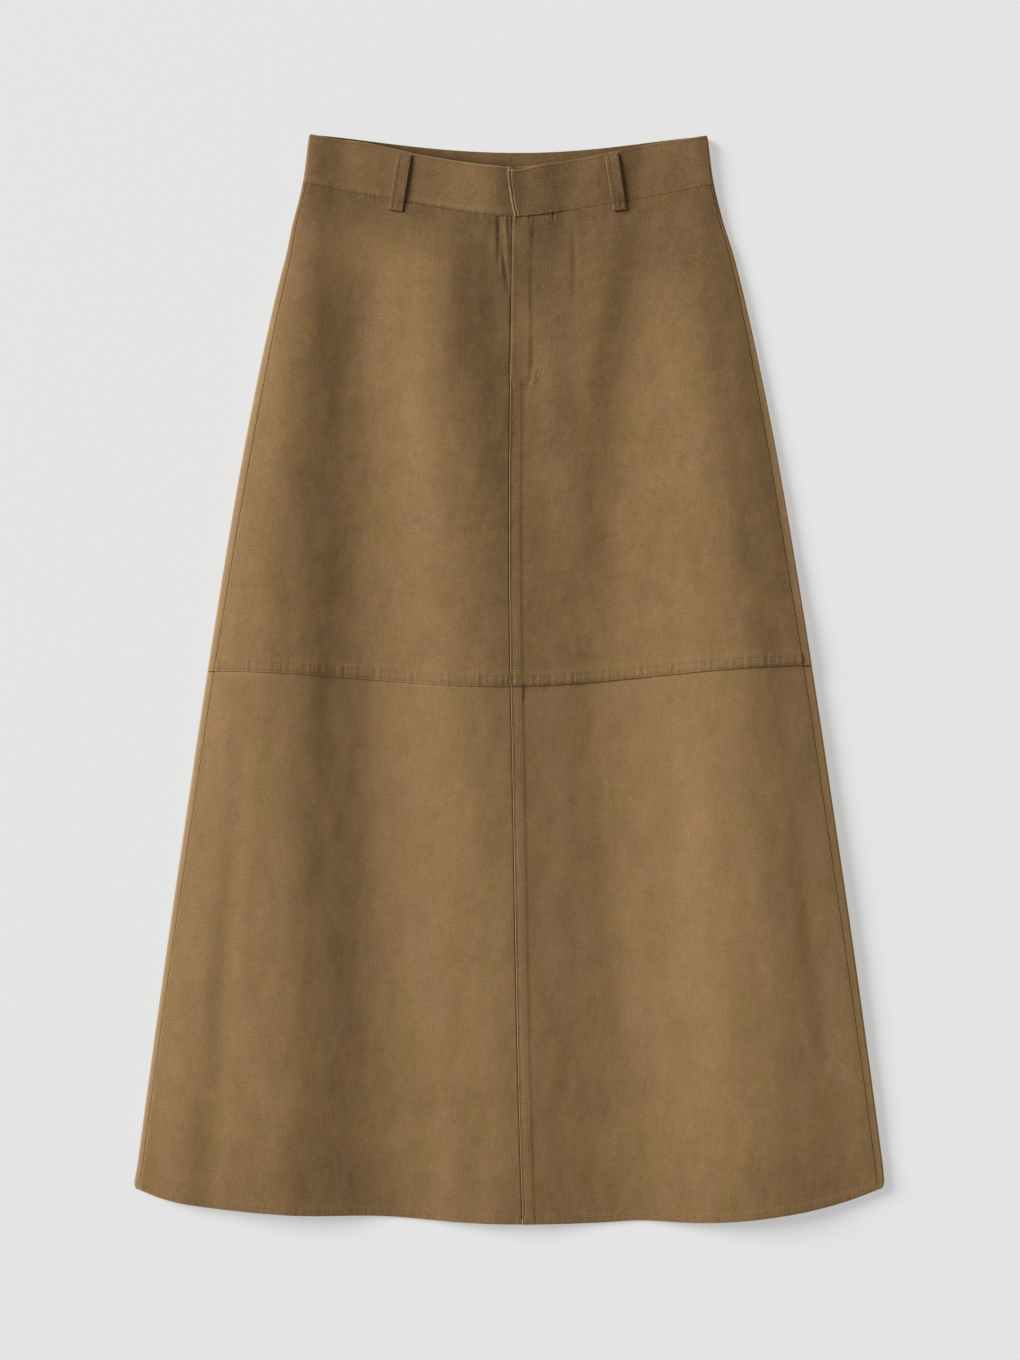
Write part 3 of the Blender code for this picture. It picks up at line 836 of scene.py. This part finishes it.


# Tone: painted shade below the waist seam, round the fly, along seams and creases and on the waistband's
# inner face, and painted highlights along folded edges and outlines.
# Three numbers are a tone, where its middle is and how far it reaches each way.

paintedLightAndTone = {
    # painted shade below the waist seam, over these heights left and right, turning over this width
    "waist": 0.24, "waistReach": (0.06, 0.17), "waistAcross": 0.24,
    # painted shade round the fly: tone, middle and reach across, then heights below the waist
    "fly": (0.12, 0.03, 0.056), "flyReach": (0.04, 0.19),
    "low": 0.07, "hem": 0.16, "hemReach": 0.11,  # the lower panels are lighter, but not near the hem
    "step": 0.002,
    # bulge is a painted highlight on the waistband's swell beside its lapping end
    "band": 0.08, "bandRight": -0.06, "bandLow": (0.14, 0.0044, 0.0046), "bulge": (0.13, -0.046, 0.042),
    "bandSeam": (0.27, 0.05), "seamIn": 0.0008, "seamWidth": 0.002,  # painted shade above the waist seam, right, left
    # bandTop is a painted highlight along the waistband's top edge, bandSewn painted shade along its top row
    "bandTop": (0.62, 0.0003, 0.0012), "bandSewn": (0.13, 0.0, 0.0013),
    # the lapping end: painted highlight on its edge, painted shade in the crack, painted highlight beside it
    "bandEnd": [(1.3, 0.0004, 0.001), (-0.62, 0.002, 0.0011), (0.78, 0.0032, 0.0009)],
    "inside": (0.62, 0.28), "insideReach": 0.0085,  # painted shade on the waistband's inner face, darker low down
    # insideEdge is a painted shadow line just above the front's top edge
    "insideRight": 0.34, "insideEdge": 0.26,
    # painted highlight along folded edges: the hem, the centre seam's edge and the belt loops' edges
    "edge": (0.2, 0.0006, 0.0013),
    "sewn": (0.06, 0.0, 0.0013), "sewnFly": (0.05, 0.0, 0.0013),  # painted shade along each sewn row, in its groove and needle holes
    "yokeEdge": [(1.05, 0.0, 0.0014), (0.78, 0.0, 0.0014)],  # painted highlight above the knee seam, left, right
    "underYoke": [(0.36, 0.0002, 0.002), (0.18, 0.0002, 0.002)],  # and painted light below it, lifting the shade under the fold
    "besideCentre": 0.42, "besideReach": (0.0006, 0.0019),  # painted shadow left of the centre seam
    "turnedIn": 0.08, "turnedFrom": 0.008,  # lighter over the centre seam's turned-in cloth
    # both sides, left and right: painted light at the outline, its reach, tone inwards of it, its reach
    "sides": {-1: (0.44, 0.0086, 0.09, 0.026), 1: (0.5, 0.0044, -0.03, 0.02)},
    "sideTop": (0.34, 0.28, 0.4),  # less of it by the waist: share left, heights
    # seamRight is painted shade in the right side seam, rimRight painted light on the right outline's rolled
    # edge
    "seamRight": (-0.1, 0.0, 0.0014), "rimRight": (1.2, 0.0, 0.0014),
    "backEdge": (0.001, 0.003),  # the back's underside is plain below these heights
}

# Streaks of painted shade along creases, puckers and the fly's edge, painted light beside the fly, and
# lighter and darker streaks elsewhere; columns as for the creases but the last is a tone.

streaks = {
    "flyPucker": [
        (-11.2, 411, -10.2, 372, 0.3, 2, -0.26), (-9.2, 406, -5, 376, 0.3, 1.4, -0.26),
        (-4.6, 376, -1.2, 334, -0.3, 1.5, -0.22)],
    "facingEdge": [
        (19, 414, 18.4, 366, 0.6, 3.6, -0.21), (18.8, 364, 18.8, 312, -0.6, 3, -0.25),
        (18.8, 314, 18.4, 262, 0.5, 3.4, -0.29)],
    "bagEdge": [(55.8, 408, 55.6, 318, 0.8, 3.6, -0.09)],
    "flyFoot": [(20, 268, 29, 260, 0, 4.6, -0.18), (13, 256, 20, 256, 0, 2.6, -0.14)],
    "kneeTuck": [
        (12.5, -3, 12.2, -21, 0, 1.7, -1), (30.4, -5, 30.2, -9, 0, 1.3, -0.4),
        (42, -3, 42.1, -7, 0, 1.3, -0.3)],
    "besideFly": [
        (38, 350, 46, 190, 3, 20, -0.2), (-15, 410, -8, 250, 0, 14, 0.22),
        (-38, 418, -46, 260, 0, 17, -0.19), (28, 260, 36, 190, 0, 20, -0.13),
        (26, 230, 24, -40, 0, 16, -0.08)],
    "besideEdge": [(0.6, 346, -0.2, 260, 0, 1.8, -0.42)],
    "placket": [(9.6, 410, 9, 270, 0, 9, 0.13)],
    "leftStreaks": [
        (-188, 420, -206, 280, 0, 16, -0.1), (-130, 380, -140, 280, 0, 22, -0.12),
        (-160, 310, -169, 200, 0, 14, 0.12), (-85, 310, -90, 190, 0, 20, 0.08),
        (-125, 190, -150, -60, 0, 18, 0.08), (-45, -140, -48, -430, 0, 20, -0.09),
        (-170, -330, -176, -470, 0, 36, -0.1), (-164, 270, -166, 20, 0, 20, 0.06),
        (-78, 264, -70, 60, 0, 22, 0.06), (-140.4, -50, -140.4, -180, 0, 16, 0.06),
        (-193, -210, -193, -350, 0, 16, -0.05), (-281, -260, -281, -430, 0, 14, -0.05)],
    "rightStreaks": [
        (52, 416, 56, 370, 0, 12, 0.09), (103, 416, 106, 370, 0, 12, 0.09),
        (150, 410, 174, 260, 0, 44, -0.07), (40, -60, 42, -300, 0, 24, 0.09),
        (100, -140, 112, -330, 0, 16, 0.07), (212, -140, 232, -330, 0, 15, 0.07),
        (246, -140, 269, -330, 0, 12, -0.07), (80, -80, 86, -410, 0, 20, -0.08),
        (154.5, -30, 171, -320, 0, 32, 0.07), (216, -180, 218, -430, 0, 18, -0.04),
        (284, -330, 296, -430, 0, 20, -0.05)],
    "nearHem": [
        (-120, -374, 110, -372, 0, 32, -0.08), (-156, -342, -4, -342, 0, 48, -0.05),
        (-36, -366, -36, -454, 0, 24, -0.07), (56, -352, 156, -352, 0, 56, -0.06)],
}
bandStreaks = {
    "soft": [
        (-132, 435, -131, 480, 0, 30, 0.12), (2, 415, 0, 460, 0, 22, -0.1), (85, 420, 84, 470, 0, 18, -0.12),
        (152, 430, 151, 480, 0, 16, -0.09)],
}


def paintedShadeAndLight(x, y):
    down, fromRight = frontWaist(x) - y, halfWidth(y) - x
    reach = mix(*paintedLightAndTone["waistReach"], clamp(x / paintedLightAndTone["waistAcross"] + 0.5))
    # painted shade below the waist seam and round the fly
    tone = -paintedLightAndTone["waist"] * fade(down, 0, reach) - swell(paintedLightAndTone["fly"], x) * fade(down, *paintedLightAndTone["flyReach"])
    below = fade(y - yoke(x), 0, paintedLightAndTone["step"])
    tone += below * (paintedLightAndTone["low"] - paintedLightAndTone["hem"] * fade(y - hem(x), 0, paintedLightAndTone["hemReach"]))
    least, low, high = paintedLightAndTone["sideTop"]
    # painted light along both outlines, less of it by the waist
    for side, (outer, outerReach, inner, innerReach) in paintedLightAndTone["sides"].items():
        inwards = halfWidth(y) - side * x
        paintedEdgeLightAndShade = outer * fade(inwards, 0.4 * outerReach, outerReach) + inner * fade(inwards, 0, innerReach)
        tone += paintedEdgeLightAndShade * mix(least, 1.0, fade(y, low, high))
    # painted light on the right outline's rim and painted shade in the right side seam
    return tone + swell(paintedLightAndTone["rimRight"], fromRight) + swell(paintedLightAndTone["seamRight"], fromRight - stripWidth(1, y))


def frontTone(tier, over):
    upper = tier == "upper"
    rows = seams["yokeRows"] if upper else seams["hemRows"]

    def tone(x, y, z):
        edge, fromCentre = y - (yoke(x) if upper else hem(x)), x - centreX(y)
        # painted shade along the sewn rows
        paintedShade = sum(swell(paintedLightAndTone["sewn"], edge - row) for row in rows)
        # painted highlight on the knee seam's folded edge, or on the hem edge, with painted light under the
        # knee seam
        if upper:
            paintedEdgeLightAndShade = swell(paintedLightAndTone["yokeEdge"][over], edge)
        else:
            paintedEdgeLightAndShade = np.maximum(swell(paintedLightAndTone["edge"], edge), swell(paintedLightAndTone["underYoke"][over], yoke(x) - y))
        if over:
            below = fade(y - fly["bottomY"], 0, paintedLightAndTone["step"]) if upper else 1.0
            # painted highlight along the centre seam's folded edge
            paintedEdgeLightAndShade = np.maximum(paintedEdgeLightAndShade, swell(paintedLightAndTone["edge"], fromCentre))
            turned = fade(fromCentre, paintedLightAndTone["turnedFrom"], seams["centreAllowance"])
            paintedEdgeLightAndShade += below * paintedLightAndTone["turnedIn"] * turned
            paintedShade += below * sum(swell(paintedLightAndTone["sewn"], fromCentre - row) for row in seams["centreRows"])
            if upper:
                # painted shade along the fly's J-shaped rows
                flyRowShade = sum(swell(paintedLightAndTone["sewnFly"], fromCentre - jRow(row, y)) for row in fly["rows"])
                paintedShade += (1 - below) * flyRowShade
        else:
            # painted shadow where the right panel's edge lies over the left one
            paintedShade += paintedLightAndTone["besideCentre"] * fade(-fromCentre, *paintedLightAndTone["besideReach"])
        return paintedShadeAndLight(x, y) + strokes(streaks, x, y) + paintedEdgeLightAndShade - paintedShade
    return tone


# the painted shade and light reach the back only where it rolls up at the sides
def backTone(x, y, z):
    low, high = paintedLightAndTone["backEdge"]
    return paintedShadeAndLight(x, y) * fade(-z, -high, -low)


def bandTone(x, y, z):
    topY, up = frontTop(x), y - frontWaist(x)
    lap = x - bandEnd(clamp(up / (topY - frontWaist(x))))
    over = (lap > -0.0004) & (z > 0.0046)  # the lapping end's outer face
    down = topY - y - np.where(over, band["endDrop"] * fade(lap, 0, band["endDropReach"]), 0.0)
    # the bulge term is a painted highlight
    tone = paintedShadeAndLight(x, y) + strokes(bandStreaks, x, y) + swell(paintedLightAndTone["bulge"], x)
    tone += paintedLightAndTone["band"] + paintedLightAndTone["bandRight"] * fade(-x, 0, 0.02)
    drawn = 0.75 + 0.6 * unevenWave(x, 0.0062, 0.9)
    tone += swell(paintedLightAndTone["bandLow"], up) * drawn * fade(x, -0.01, 0.01)
    # painted shade along the waist seam
    seam = mix(*paintedLightAndTone["bandSeam"], fade(-x, -0.016, 0.0)) * (0.35 + 0.65 * bell((x + 0.05) / 0.07))
    tone -= seam * bell((up - paintedLightAndTone["seamIn"]) / paintedLightAndTone["seamWidth"])
    # painted shade along the top row, then a painted highlight along the top edge
    tone -= swell(paintedLightAndTone["bandSewn"], down - seams["waistTopStitch"])
    paintedEdgeLightAndShade = swell(paintedLightAndTone["bandTop"], down) * (0.45 + 0.55 * bell(x / 0.12))
    # painted highlights and shade at the lapping end take the place of the top edge's highlight there
    paintedEndLightAndShade = sum(swell(line, lap) for line in paintedLightAndTone["bandEnd"])
    paintedEdgeLightAndShade = np.where(over & (lap < 0.0046), np.maximum(paintedEndLightAndShade, paintedEdgeLightAndShade * (lap > 0.001)), paintedEdgeLightAndShade)
    # the waistband's inner face, which gets painted shade in place of its tone
    inside = (z < cloth["bandWall"] + 0.0005) & (z > 0.0008) & (np.abs(x) < halfWidth(y) - 0.004)
    return np.where(inside, -paintedInsideShade(x, y - topY), tone + paintedEdgeLightAndShade)


# painted shade on the waistband's inner face, darkest next to the front's top edge
def paintedInsideShade(x, above):
    low = mix(paintedLightAndTone["inside"][0], paintedLightAndTone["insideRight"], fade(-x, -0.02, 0.01))
    shade = mix(low, paintedLightAndTone["inside"][1], clamp(above / paintedLightAndTone["insideReach"]))
    return shade + paintedLightAndTone["insideEdge"] * fade(above, 0.0004, 0.0016)


def loopTone(name):
    topX, topY, dx, dy, _ = loopAxis(name)

    def tone(x, y, z):
        across = (y - topY) * dx - (x - topX) * dy
        # painted highlight along the loop's folded edges
        return paintedShadeAndLight(x, y) + swell(paintedLightAndTone["edge"], loopSizes["width"] / 2 - np.abs(across))
    return tone


def spotsOf(mesh):
    spots = np.empty(len(mesh.vertices) * 3, np.float32)
    mesh.vertices.foreach_get("co", spots)
    return spots.reshape(-1, 3)


def paint(mesh, tone):
    layer = mesh.attributes.new("tone", "FLOAT", "POINT")
    layer.data.foreach_set("value", tone(*spotsOf(mesh).astype(float).T).astype(np.float32))


# each piece's tone, mostly painted shade and painted light
tones = {"backUpper": backTone, "backLower": backTone, "waistbandDoubled": bandTone}
for tier in ("Upper", "Lower"):
    for word in ("Left", "Right"):
        tones["front" + tier + word] = frontTone(tier.lower(), word == "Right")
for name in loopEnds:
    tones[name] = loopTone(name)
for name, piece in panels.items():
    paint(piece.data, tones[name])


# The skirt lies a little askew: waist and hem corners sit slightly to the left

askew = {
    "waist": 0.0016, "waistFrom": (0.37, 0.405), "hem": 0.0013, "hemFrom": (0.425, 0.455),
    "x": (0.02, 0.15),
}


def setAskew(mesh):
    spots = spotsOf(mesh)
    x, y = spots[:, 0], spots[:, 1]
    shift = askew["waist"] * (1 - fade(y, *askew["waistFrom"]))
    shift = shift + askew["hem"] * (1 - fade(-y, *askew["hemFrom"]))
    spots[:, 0] = x - shift * (1 - fade(np.abs(x), *askew["x"]))
    mesh.vertices.foreach_set("co", spots.ravel())
    mesh.update()


for piece in [*panels.values(), *threads.values()]:
    setAskew(piece.data)


# Finish: brushed cotton, woven in fine slubby threads, and lighter along folded edges where highlights are
# painted

clothFinish = {
    "colour": (0.252, 0.147, 0.0622),
    "olive": (0.968, 1.014, 0.9),  # the dye drifts a little between these two
    "russet": (1.032, 0.986, 1.1),
    "paleHighlight": (0.98, 1.13, 1.42),  # painted highlights are paler as well as lighter
    "thread": (0.345, 0.205, 0.093),
    # how many to a metre, across and along the cloth; how much the tone swings; detail
    "warp": ((620.0, 80.0), 0.11, 2.0),
    "weft": ((130.0, 760.0), 0.09, 2.0),
    "grain": ((700.0, 660.0), 0.42, 3.0),
    "napping": ((145.0, 125.0), 0.16, 4.0),
    "cloud": ((33.0, 31.0), 0.2, 3.0),
    "drift": (150.0, 62.0),
    "broadDrift": (34.0, 11.0),
    "driftRange": (0.76, 1.24),
    "threadHeight": 0.00005,
    "napHeight": 0.00022,
    "calm": 0.8,  # the mottling is weaker below the knee seam
}
matte = {
    "Roughness": 0.9, "Diffuse Roughness": 0.2, "Specular IOR Level": 0.2,
    "Sheen Weight": 0.12, "Sheen Roughness": 0.35, "Sheen Tint": (1.0, 0.86, 0.68, 1.0),
}


def newMaterial(name, finish):
    material = bpy.data.materials.new(name)
    material.use_nodes = True
    tree = material.node_tree
    shader = tree.nodes["Principled BSDF"]
    for socket, value in finish.items():
        shader.inputs[socket].default_value = value
    return material, tree, shader


def addNode(tree, kind, inputs=None, **settings):
    node = tree.nodes.new(kind)
    for key, value in settings.items():
        setattr(node, key, value)
    for key, value in (inputs or {}).items():
        if isinstance(value, bpy.types.NodeSocket):
            tree.links.new(value, node.inputs[key])
        else:
            node.inputs[key].default_value = value
    return node


def blend(tree, operation, a, b):
    return addNode(tree, "ShaderNodeMath", {0: a, 1: b}, operation=operation).outputs[0]


def multiply(tree, a, b):
    return addNode(tree, "ShaderNodeVectorMath", {0: a, 1: b}, operation="MULTIPLY").outputs[0]


def scaled(tree, colour, tone):
    return addNode(tree, "ShaderNodeVectorMath", {0: colour, "Scale": tone}, operation="SCALE").outputs[0]


def shadeBetween(tree, value, low, high, first, second):
    share = addNode(tree, "ShaderNodeMapRange", {0: value, 1: low, 2: high}).outputs[0]
    return addNode(tree, "ShaderNodeMix", {0: share, 4: first, 5: second}, data_type="VECTOR").outputs[1]


def stretchedNoise(tree, flat, scale, detail):
    mapping = addNode(tree, "ShaderNodeMapping", {"Vector": flat, "Scale": (*scale, 1.0)})
    noise = addNode(tree, "ShaderNodeTexNoise",
                    {"Vector": mapping.outputs[0], "Scale": 1.0, "Detail": detail, "Roughness": 0.55})
    return noise.outputs["Fac"]


def clothMaterial(name, calm):
    material, tree, shader = newMaterial(name, matte)
    flat = addNode(tree, "ShaderNodeTexCoord").outputs["UV"]
    # the tone attribute: painted shade and painted light, with some of the cloth's own tone, multiplied into
    # the colour
    painted = addNode(tree, "ShaderNodeAttribute", attribute_name="tone").outputs["Fac"]
    fields = {}
    tone = blend(tree, "ADD", painted, 1.0)
    for field in ("warp", "weft", "grain", "napping", "cloud"):
        scale, strength, detail = clothFinish[field]
        strength = strength * (calm if field in ("napping", "cloud") else 1.0)
        fields[field] = stretchedNoise(tree, flat, scale, detail)
        swing = blend(tree, "MULTIPLY", blend(tree, "SUBTRACT", fields[field], 0.5), strength * 2)
        tone = blend(tree, "ADD", tone, swing)
    drift = blend(tree, "ADD", stretchedNoise(tree, flat, clothFinish["drift"], 4.0),
                  stretchedNoise(tree, flat, clothFinish["broadDrift"], 2.0))
    dye = shadeBetween(tree, drift, *clothFinish["driftRange"], clothFinish["olive"], clothFinish["russet"])
    paleHighlight = shadeBetween(tree, painted, 0.0, 1.0, (1.0, 1.0, 1.0), clothFinish["paleHighlight"])
    dyed = multiply(tree, clothFinish["colour"], multiply(tree, dye, paleHighlight))
    tree.links.new(scaled(tree, dyed, tone), shader.inputs["Base Color"])
    woven = blend(tree, "ADD", blend(tree, "ADD", fields["warp"], fields["weft"]), fields["grain"])
    fine = addNode(tree, "ShaderNodeBump", {"Height": woven, "Distance": clothFinish["threadHeight"]})
    brushed = addNode(tree, "ShaderNodeBump", {"Height": fields["napping"], "Normal": fine.outputs[0],
                                               "Distance": clothFinish["napHeight"] * calm})
    tree.links.new(brushed.outputs[0], shader.inputs["Normal"])
    return material


def threadMaterial():
    material, tree, shader = newMaterial("sewingThread", matte)
    where = addNode(tree, "ShaderNodeTexCoord").outputs["Object"]
    fuzz = addNode(tree, "ShaderNodeTexNoise", {"Vector": where, "Scale": 900.0, "Detail": 2.0})
    tone = blend(tree, "ADD", blend(tree, "MULTIPLY", fuzz.outputs["Fac"], 0.5), 0.75)
    tree.links.new(scaled(tree, clothFinish["thread"], tone), shader.inputs["Base Color"])
    return material


brushedCotton = clothMaterial("brushedCotton", 1.0)
calmCotton = clothMaterial("calmCotton", clothFinish["calm"])

# for every piece the CAD node that it replaces, and width and length of the rectangle that it is cut from
made = {
    "frontLowerLeft": ("front_lower_left", 0.34, 0.49),
    "frontLowerRight": ("front_lower_right", 0.34, 0.49),
    "frontUpperLeft": ("front_upper_left", 0.262, 0.42),
    "frontUpperRight": ("front_upper_right", 0.262, 0.42),
    "backUpper": ("back_upper", 0.545, 0.425),
    "backLower": ("back_lower", 0.68, 0.48),
    "waistbandDoubled": ("waistband", 0.78, 0.042),
    "beltLoopLeft": ("belt_loop_left", 0.0125, 0.052),
    "beltLoopRight": ("belt_loop_right", 0.0125, 0.052),
}
for name, piece in panels.items():
    node, width, length = made[name]
    piece.data.materials.clear()
    piece.data.materials.append(calmCotton if "Lower" in name else brushedCotton)
    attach(piece, "root")
    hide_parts(node)
    print("skirt:", name, "area", round(piece["clothArea"], 4), "of", round(width * length, 4))

sewingThread = threadMaterial()
for piece in threads.values():
    piece.data.materials.append(sewingThread)
    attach(piece, "root")


# Floor, light and camera

studio = {
    "floorSize": 8.0, "floorLevel": -0.0002,
    "floorColour": (0.36, 0.36, 0.36), "floorGlow": 0.44,  # a table lit from inside
    "keyFrom": (-1.7, 0.8, 1.0), "keySoftness": 30, "keyStrength": 4.6,
    "fill": 0.22,
}
photo = {"metresPerPixel": 0.00088, "height": 1360}
view = {"height": 2.4, "sharpAt": 0.008, "sensor": 36.0}

bpy.ops.mesh.primitive_plane_add(size=studio["floorSize"], location=(0, 0, studio["floorLevel"]))
floor = bpy.context.object
floor.name = "floor"
floor.data.materials.append(newMaterial("paleFloor", {
    "Base Color": (*studio["floorColour"], 1), "Roughness": 0.9,
    "Emission Color": (1, 1, 1, 1), "Emission Strength": studio["floorGlow"]})[0])

bpy.ops.object.light_add(type="SUN", location=studio["keyFrom"])
key = bpy.context.object
key.data.angle = math.radians(studio["keySoftness"])
key.data.energy = studio["keyStrength"]
key.rotation_euler = (-key.location).to_track_quat("-Z", "Y").to_euler()
world = bpy.data.worlds.new("softRoom")
bpy.context.scene.world = world
world.use_nodes = True
background = world.node_tree.nodes["Background"]
background.inputs["Color"].default_value = (1, 1, 1, 1)
background.inputs["Strength"].default_value = studio["fill"]

bpy.ops.object.camera_add(location=(0, 0, view["height"]), rotation=(0, 0, 0))
camera = bpy.context.object
camera.data.sensor_width = view["sensor"]  # spans the picture's long side
seen = photo["height"] * photo["metresPerPixel"]
camera.data.lens = view["sensor"] * (view["height"] - view["sharpAt"]) / seen
bpy.context.scene.camera = camera
bpy.context.scene.view_settings.view_transform = "Standard"
print("skirt: floor, light and camera set")
